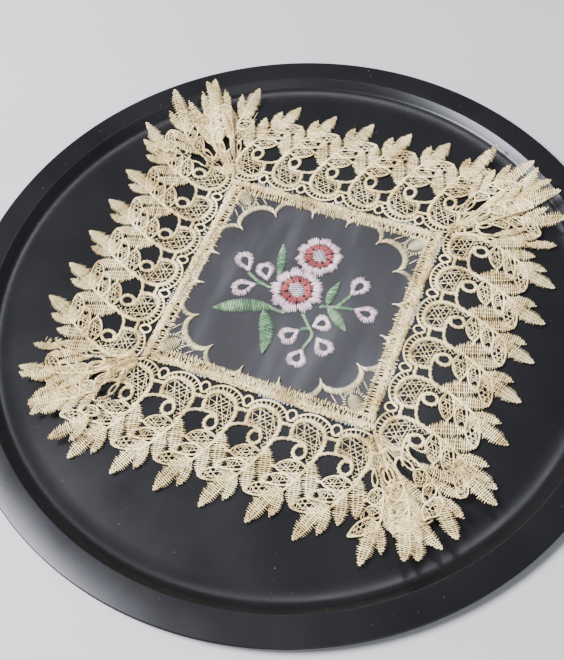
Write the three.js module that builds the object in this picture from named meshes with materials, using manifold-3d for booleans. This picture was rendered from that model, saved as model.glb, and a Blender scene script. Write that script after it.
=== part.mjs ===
// Round black metal tray with a loose square lace mat lying diagonally in its well.
// The mat has a sheer square centre panel embroidered with two flowers, a corded seam
// round it, and a wide lace border whose corners are gathered and lie up over the rim.
// Millimetres, +Z up, origin on the surface the tray stands on, at the tray's centre.
// The mat's sides run parallel to X and Y.

import * as THREE from 'three';
import { mergeVertices } from 'three/addons/utils/BufferGeometryUtils.js';
import Module from 'manifold-3d';

const wasm = await Module();
wasm.setup();

// ---------------------------------------------------------------- driving dimensions

// tray, pressed from one sheet
const trayRadius = 200;
const sheet = 1.2;
const wellDepth = 6;
const rimWidth = 16.3;
const wallRun = 4.2;
const wallDrop = 3.6;
const coveRun = 11.2;
const lipDrop = 2.6;
const coveFlatness = 0.75;
const traySegments = 96;

// where the mat lies in the tray, and the gap that touching pieces keep
const matShiftX = 1.5;
const matShiftY = 8;
const gap = 0.3;

// sheer centre panel and the corded seam round it
const panelHalf = 62.6;
const panelThickness = 0.4;
const seamWidth = 8.2;
const seamThickness = 2;
const seamClearance = 0.75;

// lace border
const laceReach = 74;
const laceThickness = 1.2;
const laceRepeats = 6;
const leafLength = 17;
const leafLean = 5;
const cornerReach = 88;
const cornerFanDegrees = 70;
const cornerLeaves = 4;
const gatherHeight = 7;
const rampRun = 12;
// the deeper the well, the sooner the lace leaves its floor and the higher it rides over the rim
const rampLead = wellDepth * 2 / 3;
const rimClearance = wellDepth / 10;

// embroidery on the panel
const stitchThickness = 0.8;
const edgingWidth = 3.4;
const edgingLeastWidth = 1.2;
const scallopBulge = 0.3;
const scallopInset = 5.1;
const middleScallopHalf = 11.5;
const cornerScallopInset = 12.1;
const cornerScallopRun = 28.6;
const cornerPetal = { inset: 6.8, length: 11.6, width: 7.6 };
const largeFlower = { x: -0.8, y: 2.2, radius: 16.4, ring: 10.6, eye: 5, petals: 9 };
const smallFlower = { x: 3.5, y: 30, radius: 14.4, ring: 9.6, eye: 4.6, petals: 9 };
const stemWidth = 2.2;
const budWidth = 12.2;
const leafBelly = 0.45;

// ---------------------------------------------------------------- materials

const finish = (color, roughness, metalness = 0) =>
  new THREE.MeshStandardMaterial({ color, roughness, metalness });
const enamel = () => finish(0x1d1e20, 0.42, 0.2);
const organza = () => finish(0x56575c, 0.75);
const laceThread = () => finish(0xd8c394, 0.8);
const pinkThread = () => finish(0xe6cdd2, 0.7);
const redThread = () => finish(0xb25a5c, 0.7);
const paleThread = () => finish(0xeee6ea, 0.7);
const greenThread = () => finish(0x6f9a72, 0.7);

// ---------------------------------------------------------------- derived heights and radii

const rimTop = sheet + wellDepth;
const floorTop = sheet;
const wallTopRadius = trayRadius - rimWidth;
const wallFootRadius = wallTopRadius - wallRun;
const floorRadius = wallFootRadius - coveRun;
const laceInner = panelHalf + gap + seamWidth + gap;
const laceOuter = laceInner + laceReach;

const object = new THREE.Group();
const mat = new THREE.Group();
mat.position.set(matShiftX, matShiftY, 0);
object.add(mat);

function addPiece(parent, name, geometry, material, z = 0) {
  const mesh = new THREE.Mesh(geometry, material);
  mesh.name = name;
  mesh.position.z = z;
  parent.add(mesh);
  return mesh;
}

// ---------------------------------------------------------------- helpers

function extrude(shape, depth) {
  return new THREE.ExtrudeGeometry(shape, { depth, bevelEnabled: false, curveSegments: 6 });
}

function toSolid(geometry) {
  const bare = geometry.clone();
  bare.deleteAttribute('normal');
  bare.deleteAttribute('uv');
  const merged = mergeVertices(bare);
  return new wasm.Manifold(new wasm.Mesh({
    numProp: 3,
    vertProperties: new Float32Array(merged.attributes.position.array),
    triVerts: new Uint32Array(merged.index.array),
  }));
}

function join(geometries) {
  const solid = geometries.map(toSolid).reduce((whole, next) => whole.add(next));
  const result = solid.getMesh();
  const geometry = new THREE.BufferGeometry();
  const corners = new Float32Array(result.vertProperties);
  geometry.setAttribute('position', new THREE.BufferAttribute(corners, 3));
  geometry.setIndex(new THREE.BufferAttribute(new Uint32Array(result.triVerts), 1));
  geometry.computeVertexNormals();
  return geometry;
}

// A block whose plan and height follow place(u, v, top), with u and v from 0 to 1.
function drape(stepsU, stepsV, place) {
  const geometry = new THREE.BoxGeometry(1, 1, 1, stepsU, stepsV, 1);
  const position = geometry.attributes.position;
  for (let i = 0; i < position.count; i += 1) {
    const isTop = position.getZ(i) > 0;
    position.setXYZ(i, ...place(position.getX(i) + 0.5, position.getY(i) + 0.5, isTop));
  }
  geometry.computeVertexNormals();
  return geometry;
}

// Height of the mat's underside: flat on the floor, then up a ramp and over the rim.
function undersideAt(x, y) {
  const radius = Math.hypot(x + matShiftX, y + matShiftY);
  const up = THREE.MathUtils.clamp((radius - (floorRadius - rampLead)) / rampRun, 0, 1);
  return floorTop + gap + up * (wellDepth + rimClearance - gap);
}

// ---------------------------------------------------------------- tray

function makeTray() {
  const coveSteps = 5;
  const wallFoot = rimTop - wallDrop;
  const undersideFoot = wallFoot - 0.4 * sheet;
  const undersideBend = { radius: floorRadius + 0.7 * coveRun, z: 0.2 * sheet };
  const profile = [new THREE.Vector2(0, floorTop), new THREE.Vector2(floorRadius, floorTop)];
  const cove = new THREE.QuadraticBezierCurve(
    new THREE.Vector2(floorRadius, floorTop),
    new THREE.Vector2(floorRadius + coveRun * coveFlatness, floorTop),
    new THREE.Vector2(wallFootRadius, wallFoot),
  );
  profile.push(...cove.getPoints(coveSteps).slice(1));
  profile.push(new THREE.Vector2(wallTopRadius, rimTop));
  profile.push(new THREE.Vector2(trayRadius, rimTop));
  profile.push(new THREE.Vector2(trayRadius, rimTop - lipDrop));
  profile.push(new THREE.Vector2(trayRadius - sheet, rimTop - lipDrop));
  profile.push(new THREE.Vector2(trayRadius - sheet, rimTop - sheet));
  profile.push(new THREE.Vector2(wallTopRadius + sheet, rimTop - sheet));
  profile.push(new THREE.Vector2(wallFootRadius + sheet, undersideFoot));
  profile.push(new THREE.Vector2(undersideBend.radius, undersideBend.z));
  profile.push(new THREE.Vector2(floorRadius, 0));
  profile.push(new THREE.Vector2(0, 0));
  // the profile runs from the top round to the underside, so it is turned to face outwards
  const geometry = new THREE.LatheGeometry(profile.reverse(), traySegments);
  geometry.rotateX(Math.PI / 2);
  return geometry;
}

addPiece(object, 'tray_pan', makeTray(), enamel());

// ---------------------------------------------------------------- centre panel and seam

const panelSide = 2 * panelHalf;
addPiece(mat, 'centre_panel', new THREE.BoxGeometry(panelSide, panelSide, panelThickness),
  organza(), floorTop + gap + panelThickness / 2);

const sides = [['right', 0], ['back', 1], ['left', 2], ['front', 3]];
const corners = [['right_back', 0], ['left_back', 1], ['left_front', 2], ['right_front', 3]];

function addTurned(name, quarter, geometry, material, z = 0) {
  const mesh = addPiece(mat, name, geometry, material, z);
  mesh.rotation.z = quarter * Math.PI / 2;
  return mesh;
}

// each band starts at the foot of the last one, so the four run round the square
const seamLength = 2 * panelHalf + gap + seamWidth;
for (const [side, quarter] of sides) {
  const band = new THREE.BoxGeometry(seamWidth, seamLength, seamThickness);
  band.translate(panelHalf + gap + seamWidth / 2, (gap + seamWidth) / 2, 0);
  addTurned(`seam_band_${side}`, quarter, band, laceThread(), floorTop + gap + seamThickness / 2);
}

// ---------------------------------------------------------------- lace border

// One leaf from 0 to 1 of its width: 0 in the notch, 1 at the pointed tip.
const leafOutline = (share) => Math.pow(1 - Math.abs(2 * share - 1), 0.7);

// Straight run of one side: its ends slope outwards to meet the corner fans.
const fanEdge = THREE.MathUtils.degToRad((90 - cornerFanDegrees) / 2);
const cornerPoint = laceInner + gap / 2;
const runStart = cornerPoint - seamClearance;
const sideSteps = 6;
const cornerSteps = 10;
const stepsPerLeaf = 4;

function turn(x, y, quarter) {
  const cos = Math.round(Math.cos(quarter * Math.PI / 2));
  const sin = Math.round(Math.sin(quarter * Math.PI / 2));
  return [x * cos - y * sin, x * sin + y * cos];
}

// The mesh isn't turned afterwards: its height depends on where it lies in the tray.
function makeLaceSide(quarter) {
  return drape(sideSteps, laceRepeats * stepsPerLeaf, (out, along, isTop) => {
    const leaf = leafOutline((along * laceRepeats) % 1);
    const reach = laceReach - leafLength * (1 - leaf);
    const outward = laceInner + out * reach;
    const halfRun = runStart + (outward - laceInner) * Math.tan(fanEdge);
    const lean = leafLean * out * out * Math.sin(Math.PI * along);
    const [x, y] = turn(outward, (2 * along - 1) * halfRun - lean, quarter);
    return [x, y, undersideAt(x, y) + (isTop ? laceThickness : 0)];
  });
}

// Gathered corner: a fan of overlapping leaves, thicker than the flat lace.
function makeLaceCorner(quarter) {
  const fan = THREE.MathUtils.degToRad(cornerFanDegrees);
  const innerReach = 3;
  return drape(cornerSteps, cornerLeaves * stepsPerLeaf, (out, across, isTop) => {
    const angle = fanEdge + across * fan;
    const leaf = leafOutline((across * cornerLeaves) % 1);
    const bow = Math.sin(Math.PI * across);
    const fullReach = laceReach + (cornerReach - laceReach) * bow - leafLength * (1 - leaf) * bow;
    const reach = innerReach + out * (fullReach - innerReach);
    const fanX = cornerPoint + reach * Math.cos(angle);
    const fanY = cornerPoint + reach * Math.sin(angle);
    const [x, y] = turn(fanX, fanY, quarter);
    const thickness = laceThickness + gatherHeight * bow * Math.min(1, 1.6 * out);
    return [x, y, undersideAt(x, y) + (isTop ? thickness : 0)];
  });
}

for (const [side, quarter] of sides) {
  addPiece(mat, `lace_side_${side}`, makeLaceSide(quarter), laceThread());
}
for (const [corner, quarter] of corners) {
  addPiece(mat, `lace_corner_${corner}`, makeLaceCorner(quarter), laceThread());
}

// ---------------------------------------------------------------- stitched scallop edging

const stitchZ = floorTop + gap + panelThickness + gap;
const edgingOuter = panelHalf - gap;

// cusps of one side as [along, outward]
const cornerCusp = [panelHalf - cornerScallopRun, panelHalf - cornerScallopInset];
const middleCusp = [middleScallopHalf, panelHalf - scallopInset];
const mirrored = ([along, outward]) => [-along, outward];
const sideCusps = [mirrored(cornerCusp), mirrored(middleCusp), middleCusp, cornerCusp];

function scallopPoints() {
  const cusps = [];
  for (let quarter = 0; quarter < 4; quarter += 1) {
    for (const [along, outward] of sideCusps) cusps.push(turn(outward, along, quarter));
  }
  const points = [];
  const arcSteps = 6;
  cusps.forEach(([x, y], i) => {
    const [nextX, nextY] = cusps[(i + 1) % cusps.length];
    const span = Math.hypot(nextX - x, nextY - y);
    const outX = (nextY - y) / span;
    const outY = -(nextX - x) / span;
    for (let step = 0; step < arcSteps; step += 1) {
      const share = step / arcSteps;
      const rise = scallopBulge * span * Math.sqrt(1 - (2 * share - 1) ** 2);
      const limit = edgingOuter - edgingLeastWidth;
      points.push(new THREE.Vector2(
        THREE.MathUtils.clamp(x + share * (nextX - x) + rise * outX, -limit, limit),
        THREE.MathUtils.clamp(y + share * (nextY - y) + rise * outY, -limit, limit),
      ));
    }
  });
  return points;
}

// Outside, the edging runs along the seam and cuts across each corner on the line x + y = cornerCut.
const cornerSpan = Math.SQRT2 * (cornerCusp[1] - cornerCusp[0]);
const cornerDepth = scallopBulge * cornerSpan + edgingWidth;
const cornerCut = cornerCusp[0] + cornerCusp[1] + Math.SQRT2 * cornerDepth;
const edgingCornerAlong = cornerCut - edgingOuter;
const edging = new THREE.Shape();
for (let quarter = 0; quarter < 4; quarter += 1) {
  const [ax, ay] = turn(edgingOuter, -edgingCornerAlong, quarter);
  const [bx, by] = turn(edgingOuter, edgingCornerAlong, quarter);
  if (quarter === 0) edging.moveTo(ax, ay);
  else edging.lineTo(ax, ay);
  edging.lineTo(bx, by);
}
edging.closePath();
edging.holes.push(new THREE.Path(scallopPoints()));
addPiece(mat, 'scallop_edging', extrude(edging, stitchThickness), laceThread(), stitchZ);

for (const [corner, quarter] of corners) {
  const petal = new THREE.Shape();
  petal.absellipse(0, 0, cornerPetal.length / 2, cornerPetal.width / 2, 0, 2 * Math.PI);
  const geometry = extrude(petal, stitchThickness);
  geometry.rotateZ(Math.PI / 4);
  geometry.translate(panelHalf - cornerPetal.inset, panelHalf - cornerPetal.inset, 0);
  addTurned(`corner_petal_${corner}`, quarter, geometry, laceThread(), stitchZ);
}

// ---------------------------------------------------------------- flowers

const lobeDepth = 0.09;

function flowerRadius(flower, radius, angle) {
  return radius * (1 - lobeDepth + lobeDepth * Math.abs(Math.sin(flower.petals * angle / 2)) ** 0.6);
}

// The small flower is tucked under the large one, so its edge stops short of it.
function clearOfLargeFlower(flower, angle) {
  const awayX = largeFlower.x - flower.x;
  const awayY = largeFlower.y - flower.y;
  const towards = awayX * Math.cos(angle) + awayY * Math.sin(angle);
  const beside = awayX * Math.sin(angle) - awayY * Math.cos(angle);
  const keepOut = largeFlower.radius + gap;
  if (towards <= 0 || Math.abs(beside) >= keepOut) return Infinity;
  return towards - Math.sqrt(keepOut ** 2 - beside ** 2);
}

function lobedPath(Kind, flower, radius, limited) {
  const steps = flower.petals * 6;
  const points = [];
  for (let i = 0; i < steps; i += 1) {
    const angle = 2 * Math.PI * i / steps;
    const free = flowerRadius(flower, radius, angle);
    const reach = limited ? Math.min(free, clearOfLargeFlower(flower, angle)) : free;
    const x = flower.x + reach * Math.cos(angle);
    const y = flower.y + reach * Math.sin(angle);
    points.push(new THREE.Vector2(x, y));
  }
  return new Kind(points);
}

function addFlower(name, flower, limited) {
  const petals = lobedPath(THREE.Shape, flower, flower.radius, limited);
  petals.holes.push(lobedPath(THREE.Path, flower, flower.ring + gap, false));
  const ring = lobedPath(THREE.Shape, flower, flower.ring, false);
  const eyeHole = new THREE.Path();
  eyeHole.absarc(flower.x, flower.y, flower.eye + gap, 0, 2 * Math.PI);
  ring.holes.push(eyeHole);
  const eye = new THREE.Shape();
  eye.absarc(flower.x, flower.y, flower.eye, 0, 2 * Math.PI);
  addPiece(mat, `${name}_petals`, extrude(petals, stitchThickness), pinkThread(), stitchZ);
  addPiece(mat, `${name}_ring`, extrude(ring, stitchThickness), redThread(), stitchZ);
  addPiece(mat, `${name}_eye`, extrude(eye, stitchThickness), paleThread(), stitchZ);
}

addFlower('large_flower', largeFlower, false);
addFlower('small_flower', smallFlower, true);

// ---------------------------------------------------------------- buds, leaves and stems

// A point so many millimetres beyond the large flower's edge, in a direction in degrees.
function byLargeFlower(degrees, beyond) {
  const angle = THREE.MathUtils.degToRad(degrees);
  const reach = largeFlower.radius + beyond;
  return [largeFlower.x + reach * Math.cos(angle), largeFlower.y + reach * Math.sin(angle)];
}

// Each bud has its narrow end at its stem: place of that end, the way it grows, and length.
const buds = [
  [-25.5, -1.6, 214, 16], [-33.4, 5.4, 131, 16], [-20.4, 2.6, 120, 14],
  [11, -23.4, 229, 13.4], [17, -34.8, 263, 12.8], [21.8, -25.2, 324, 14],
  [17, -19.2, 42, 11.6], [31.2, 9, 69, 15.2], [36, 0.4, -4, 14.6],
];

// Heart outline with its point at the origin, growing along +X, and an oval opening.
function makeBud(length) {
  const shape = new THREE.Shape();
  const half = budWidth / 2;
  shape.moveTo(0, 0);
  shape.bezierCurveTo(length * 0.25, half * 0.25, length * 0.3, half, length * 0.68, half);
  shape.bezierCurveTo(length * 0.95, half, length * 1.05, half * 0.25, length * 0.93, 0);
  shape.bezierCurveTo(length * 1.05, -half * 0.25, length * 0.95, -half, length * 0.68, -half);
  shape.bezierCurveTo(length * 0.3, -half, length * 0.25, -half * 0.25, 0, 0);
  const opening = new THREE.Path();
  opening.absellipse(length * 0.56, 0, length * 0.17, half * 0.25, 0, 2 * Math.PI);
  shape.holes.push(opening);
  return extrude(shape, stitchThickness);
}

buds.forEach(([x, y, degrees, length], i) => {
  const bud = makeBud(length);
  bud.rotateZ(THREE.MathUtils.degToRad(degrees));
  bud.translate(x, y, 0);
  addPiece(mat, `bud_${i + 1}`, bud, pinkThread(), stitchZ);
});

// Leaves: foot, tip, width, and how far the middle bows to the left of the way it grows.
const leaves = [
  { foot: [-12, -14.6], tip: [-44, -26.5], width: 9.5, bow: -3 },
  { foot: [-14, -20.5], tip: [-4.6, -45.6], width: 9, bow: 5 },
  { foot: byLargeFlower(153.8, -0.5), tip: [-21, 31.2], width: 5.8, bow: -0.6 },
  { foot: [20.6, -1], tip: [21.8, 15.8], width: 5.6, bow: 2 },
  { foot: [21.8, -3.9], tip: [36.4, -14.6], width: 5.4, bow: 0.8 },
];

function makeLeaf({ foot, tip, width, bow }) {
  const alongX = tip[0] - foot[0];
  const alongY = tip[1] - foot[1];
  const length = Math.hypot(alongX, alongY);
  const leftX = -alongY / length;
  const leftY = alongX / length;
  const side = (offset) => [
    foot[0] + alongX * leafBelly + leftX * offset,
    foot[1] + alongY * leafBelly + leftY * offset,
  ];
  const shape = new THREE.Shape();
  shape.moveTo(...foot);
  shape.quadraticCurveTo(...side(bow + width), ...tip);
  shape.quadraticCurveTo(...side(bow - width), ...foot);
  return extrude(shape, stitchThickness);
}

leaves.forEach((leaf, i) => {
  addPiece(mat, `leaf_${i + 1}`, makeLeaf(leaf), greenThread(), stitchZ);
});

function makeRibbon(points) {
  const curve = new THREE.CatmullRomCurve3(points.map(([x, y]) => new THREE.Vector3(x, y, 0)));
  const steps = 6;
  const left = [];
  const right = [];
  for (let i = 0; i <= steps; i += 1) {
    const at = curve.getPoint(i / steps);
    const tangent = curve.getTangent(i / steps);
    left.push(new THREE.Vector2(at.x - tangent.y * stemWidth / 2, at.y + tangent.x * stemWidth / 2));
    right.push(new THREE.Vector2(at.x + tangent.y * stemWidth / 2, at.y - tangent.x * stemWidth / 2));
  }
  return extrude(new THREE.Shape([...left, ...right.reverse()]), stitchThickness);
}

// Each stem forks: its main run first, then the branches that grow out of it.
const stems = {
  stem_upper: [[byLargeFlower(192.7, 0.8), [-25, 0.2], [-32.2, 3.4]]],
  stem_left: [
    [byLargeFlower(-56.3, 2.4), [15, -19.6], [19, -24.6], [17.2, -33.6]],
    [[15, -19.6], [13.4, -21.4], [11.8, -22.4]],
  ],
  stem_lower: [
    [byLargeFlower(-16.6, 3.2), [24, -2], [30, -0.6], [35.2, -0.2]],
    [[26, -1.6], [28.4, 2.4], [30.6, 7.8]],
  ],
  stem_leaves: [[byLargeFlower(259.4, 1), [-7.6, -14.9], [-11, -14.6]]],
};

for (const [name, runs] of Object.entries(stems)) {
  addPiece(mat, name, join(runs.map(makeRibbon)), greenThread(), stitchZ);
}

export default object;
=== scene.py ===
"""Round black tray with a loose square lace mat: its looks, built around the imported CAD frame.

Shapes are worked out in millimetres and turned into metres when a mesh is made. The mat has its
own plan frame, with the origin at the middle of its sheer panel and its sides along X and Y.
"""
import math

import bmesh
import bpy
import numpy as np
from mathutils import Matrix, Vector


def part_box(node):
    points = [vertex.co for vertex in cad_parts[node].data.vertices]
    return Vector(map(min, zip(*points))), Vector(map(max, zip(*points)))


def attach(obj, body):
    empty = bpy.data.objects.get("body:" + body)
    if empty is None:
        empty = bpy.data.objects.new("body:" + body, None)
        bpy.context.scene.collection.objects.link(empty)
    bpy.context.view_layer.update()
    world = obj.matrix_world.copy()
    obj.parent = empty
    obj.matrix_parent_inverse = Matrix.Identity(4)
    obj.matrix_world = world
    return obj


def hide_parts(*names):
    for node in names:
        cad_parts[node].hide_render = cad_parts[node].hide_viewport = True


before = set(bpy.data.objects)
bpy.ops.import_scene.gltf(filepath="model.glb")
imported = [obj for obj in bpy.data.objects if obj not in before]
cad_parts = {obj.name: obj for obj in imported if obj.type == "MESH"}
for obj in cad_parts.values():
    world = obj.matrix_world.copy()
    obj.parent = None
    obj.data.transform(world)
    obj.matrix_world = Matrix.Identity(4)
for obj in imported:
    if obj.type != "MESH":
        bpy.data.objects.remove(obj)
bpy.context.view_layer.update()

# ---- sizes, from the frame (mm)

MM = 0.001
GAP = 0.3  # between touching pieces, as in the CAD
tray_low, tray_high = (np.array(v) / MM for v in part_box("tray_pan"))
panel_low, panel_high = (np.array(v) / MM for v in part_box("centre_panel"))
seam_low, seam_high = (np.array(v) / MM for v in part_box("seam_band_right"))
side_low, _ = (np.array(v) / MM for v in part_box("lace_side_left"))

TRAY_RADIUS = (tray_high[0] - tray_low[0]) / 2
RIM_TOP = tray_high[2]
FLOOR_TOP = panel_low[2] - GAP
MAT_X, MAT_Y = (panel_low[:2] + panel_high[:2]) / 2
PANEL_HALF = (panel_high[0] - panel_low[0]) / 2
SEAM_IN = seam_low[0] - MAT_X
SEAM_OUT = seam_high[0] - MAT_X
LACE_IN = SEAM_OUT + GAP
LACE_OUT = MAT_X - side_low[0]
LACE_WIDTH = LACE_OUT - LACE_IN

# the pan's section, as in the CAD: flat rim, sloping wall, cove down to the floor, lip under the edge
RIM_WIDTH = 16.3
WALL_RUN = 4.2
WALL_DROP = 3.6
COVE_RUN = 11.2
SHEET = 1.2
LIP_DROP = 2.6
WALL_TOP_RADIUS = TRAY_RADIUS - RIM_WIDTH
WALL_FOOT_RADIUS = WALL_TOP_RADIUS - WALL_RUN
FLOOR_RADIUS = WALL_FOOT_RADIUS - COVE_RUN
EDGE_RADIUS = 0.9  # rounds the rim's inner and outer edge
RISE_FROM = FLOOR_RADIUS - 8  # where the mat leaves the floor
RISE_RUN = 20  # how much further out it lies at the rim's height

rng = np.random.default_rng(7)  # seeded, so that every run is the same

# ---- camera

CAMERA_AT = Vector((0.1263, -0.2516, 0.4413))
CAMERA_TURN = math.radians(28.03)
CAMERA_DOWN = math.radians(59.05)
CAMERA_ROLL = math.radians(-7.454)
CAMERA_LENS = 47.29


def add_camera():
    forward = Vector((-math.sin(CAMERA_TURN) * math.cos(CAMERA_DOWN),
                      math.cos(CAMERA_TURN) * math.cos(CAMERA_DOWN),
                      -math.sin(CAMERA_DOWN)))
    level = Vector((math.cos(CAMERA_TURN), math.sin(CAMERA_TURN), 0))
    above = level.cross(forward)
    right = level * math.cos(CAMERA_ROLL) + above * math.sin(CAMERA_ROLL)
    up = right.cross(forward)
    data = bpy.data.cameras.new("camera")
    data.lens = CAMERA_LENS
    data.sensor_width = 36
    camera = bpy.data.objects.new("camera", data)
    turn = Matrix((right, up, -forward)).transposed().to_4x4()
    camera.matrix_world = Matrix.Translation(CAMERA_AT) @ turn
    bpy.context.scene.collection.objects.link(camera)
    bpy.context.scene.camera = camera


add_camera()

# ---- material helpers


def shader_of(material):
    return material.node_tree.nodes["Principled BSDF"]


def new_material(name, colour, roughness, **sockets):
    """A material with plain socket values; Sheen_Weight=0.2 sets the socket called Sheen Weight."""
    material = bpy.data.materials.new(name)
    material.use_nodes = True
    shader = shader_of(material)
    shader.inputs["Base Color"].default_value = (*colour, 1)
    shader.inputs["Roughness"].default_value = roughness
    for socket, value in sockets.items():
        shader.inputs[socket.replace("_", " ")].default_value = value
    return material


def node(material, kind, **settings):
    made = material.node_tree.nodes.new(kind)
    for key, value in settings.items():
        setattr(made, key, value)
    return made


def link(material, source, target):
    material.node_tree.links.new(source, target)


def feed(material, source, socket):
    link(material, source, shader_of(material).inputs[socket])


def add_noise(material, scale, detail=4, stretch=(1, 1, 1)):
    """Noise fixed to the object; scale is in cells a metre."""
    place = node(material, "ShaderNodeTexCoord")
    mapping = node(material, "ShaderNodeMapping")
    mapping.inputs["Scale"].default_value = stretch
    noise = node(material, "ShaderNodeTexNoise")
    noise.inputs["Scale"].default_value = scale
    noise.inputs["Detail"].default_value = detail
    link(material, place.outputs["Object"], mapping.inputs["Vector"])
    link(material, mapping.outputs["Vector"], noise.inputs["Vector"])
    return noise.outputs["Fac"]


def add_ramp(material, factor, stops):
    """Colours, or single greys, blended between (position, colour) stops."""
    ramp = node(material, "ShaderNodeValToRGB")
    elements = ramp.color_ramp.elements
    while len(elements) < len(stops):
        elements.new(0.5)
    for element, (position, colour) in zip(elements, stops):
        element.position = position
        element.color = (*colour, 1) if len(colour) == 3 else (colour[0],) * 3 + (1,)
    link(material, factor, ramp.inputs["Fac"])
    return ramp.outputs["Color"]


def add_bump(material, height, strength, distance):
    bump = node(material, "ShaderNodeBump")
    bump.inputs["Strength"].default_value = strength
    bump.inputs["Distance"].default_value = distance
    link(material, height, bump.inputs["Height"])
    feed(material, bump.outputs["Normal"], "Normal")


# ---- materials


def thread_material(name, dark, middle, light, roughness=0.55, sheen=0.25):
    """Satin thread: its tone changes from stitch to stitch, along each and from patch to patch; its darkest
    and palest tones are partly the thread's own and partly painted shade and painted highlights.
    """
    material = new_material(name, middle, roughness, Sheen_Weight=sheen, Specular_IOR_Level=0.35)
    tone = node(material, "ShaderNodeNewGeometry").outputs["Random Per Island"]
    for factor, share in ((add_noise(material, 900, 3), 0.75), (add_noise(material, 60, 3), 0.45)):
        mix = node(material, "ShaderNodeMix")
        mix.inputs["Factor"].default_value = share
        link(material, tone, mix.inputs["A"])
        link(material, factor, mix.inputs["B"])
        tone = mix.outputs["Result"]
    # the dark end of this ramp is partly painted shade, as in creases, and the light end partly painted
    # highlight
    colour = add_ramp(material, tone, [(0.36, dark), (0.5, middle), (0.62, light)])
    feed(material, colour, "Base Color")
    add_bump(material, add_noise(material, 2600, 2), 0.35, 0.0003)
    return material


LACE = thread_material("lace_thread", (0.34, 0.22, 0.08), (0.82, 0.65, 0.33), (1.0, 0.88, 0.57), 0.6, 0.15)
EDGING = thread_material("edging_thread", (0.40, 0.31, 0.15), (0.68, 0.57, 0.33), (0.90, 0.82, 0.58))
PINK = thread_material("pink_thread", (0.52, 0.27, 0.38), (0.90, 0.66, 0.77), (1.0, 0.90, 0.96))
RED = thread_material("red_thread", (0.20, 0.02, 0.03), (0.40, 0.06, 0.07), (0.58, 0.14, 0.14))
PALE = thread_material("pale_thread", (0.50, 0.42, 0.55), (0.82, 0.74, 0.82), (0.96, 0.93, 0.96))
GREEN = thread_material("green_thread", (0.03, 0.10, 0.04), (0.14, 0.28, 0.15), (0.36, 0.53, 0.34))
# pale grey thread for the panel's cut edge: its pale colour is a painted glint on the dark organza
PAINTED_GLINT_THREAD = thread_material("painted_glint_thread", (0.36, 0.36, 0.40), (0.62, 0.62, 0.66), (0.9, 0.9, 0.92), 0.3)


def enamel_material():
    """Satin black enamel with faint mottling, dust and scuffs in its gloss."""
    material = new_material("black_enamel", (0.006, 0.006, 0.007), 0.26, Specular_IOR_Level=0.27)
    shader_of(material).inputs["Specular Tint"].default_value = (0.86, 0.88, 1.0, 1)
    tone = add_noise(material, 14, 5)
    colour = add_ramp(material, tone, [(0.3, (0.004, 0.004, 0.0045)), (0.7, (0.007, 0.007, 0.008))])
    dust = add_noise(material, 640, 2)
    specks = add_ramp(material, dust, [(0.755, (0.0,)), (0.79, (1.0,))])
    mix = node(material, "ShaderNodeMix", data_type="RGBA")
    mix.inputs["B"].default_value = (0.10, 0.10, 0.105, 1)
    link(material, specks, mix.inputs["Factor"])
    link(material, colour, mix.inputs["A"])
    feed(material, mix.outputs["Result"], "Base Color")
    gloss = add_ramp(material, add_noise(material, 30, 6), [(0.3, (0.24,)), (0.7, (0.30,))])
    feed(material, gloss, "Roughness")
    add_bump(material, add_noise(material, 700, 3), 0.06, 0.0002)
    return material


def organza_material():
    """Grey see-through cloth; its faint pale streaks are painted highlights where light catches its creases.
    """
    material = new_material("organza", (0.08, 0.08, 0.10), 0.6, Alpha=0.30, Sheen_Weight=0.2)
    painted_crease_highlights = add_noise(material, 55, 3, (1.0, 0.22, 1.0))
    # the palest stop paints highlights on creases into the cloth's colour
    colour = add_ramp(material, painted_crease_highlights, [(0.44, (0.048, 0.048, 0.06)), (0.56, (0.066, 0.066, 0.082)),
                                          (0.72, (0.13, 0.13, 0.155))])
    feed(material, colour, "Base Color")
    return material


ENAMEL = enamel_material()
ORGANZA = organza_material()

# ---- mesh building


class Soup:
    """Quads gathered from many small pieces, kept in millimetres until the mesh is made."""

    def __init__(self):
        self.points = []
        self.quads = []
        self.count = 0

    def add(self, points, quads):
        points = np.asarray(points, float).reshape(-1, 3)
        self.points.append(points)
        self.quads.append(np.asarray(quads, int).reshape(-1, 4) + self.count)
        self.count += len(points)

    def arrays(self):
        return np.concatenate(self.points), np.concatenate(self.quads)


def make_object(name, points, quads, material):
    """A smooth-shaded mesh object from points in millimetres and four-cornered faces."""
    mesh = bpy.data.meshes.new(name)
    points = np.asarray(points, np.float32) * MM
    quads = np.asarray(quads, np.int32)
    mesh.vertices.add(len(points))
    mesh.vertices.foreach_set("co", points.ravel())
    mesh.loops.add(quads.size)
    mesh.loops.foreach_set("vertex_index", quads.ravel())
    mesh.polygons.add(len(quads))
    mesh.polygons.foreach_set("loop_start", np.arange(0, quads.size, 4, dtype=np.int32))
    mesh.polygons.foreach_set("use_smooth", np.full(len(quads), True))
    mesh.update(calc_edges=True)
    mesh.validate()
    mesh.materials.append(material)
    made = bpy.data.objects.new(name, mesh)
    bpy.context.scene.collection.objects.link(made)
    return made


def left_of(ways):
    """Ways in the plan turned a quarter to the left; one way, or a row of them."""
    return np.stack([-ways[..., 1], ways[..., 0]], -1)


def band_quads(rings, sides, closed=False):
    """Faces between rings of points that follow each other; the last joins the first if closed."""
    ring = np.arange(rings if closed else rings - 1)[:, None] * sides
    following = (ring + sides) % (rings * sides)
    j = np.arange(sides)[None]
    k = (j + 1) % sides
    return np.stack([ring + j, ring + k, following + k, following + j], -1).reshape(-1, 4)


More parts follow.
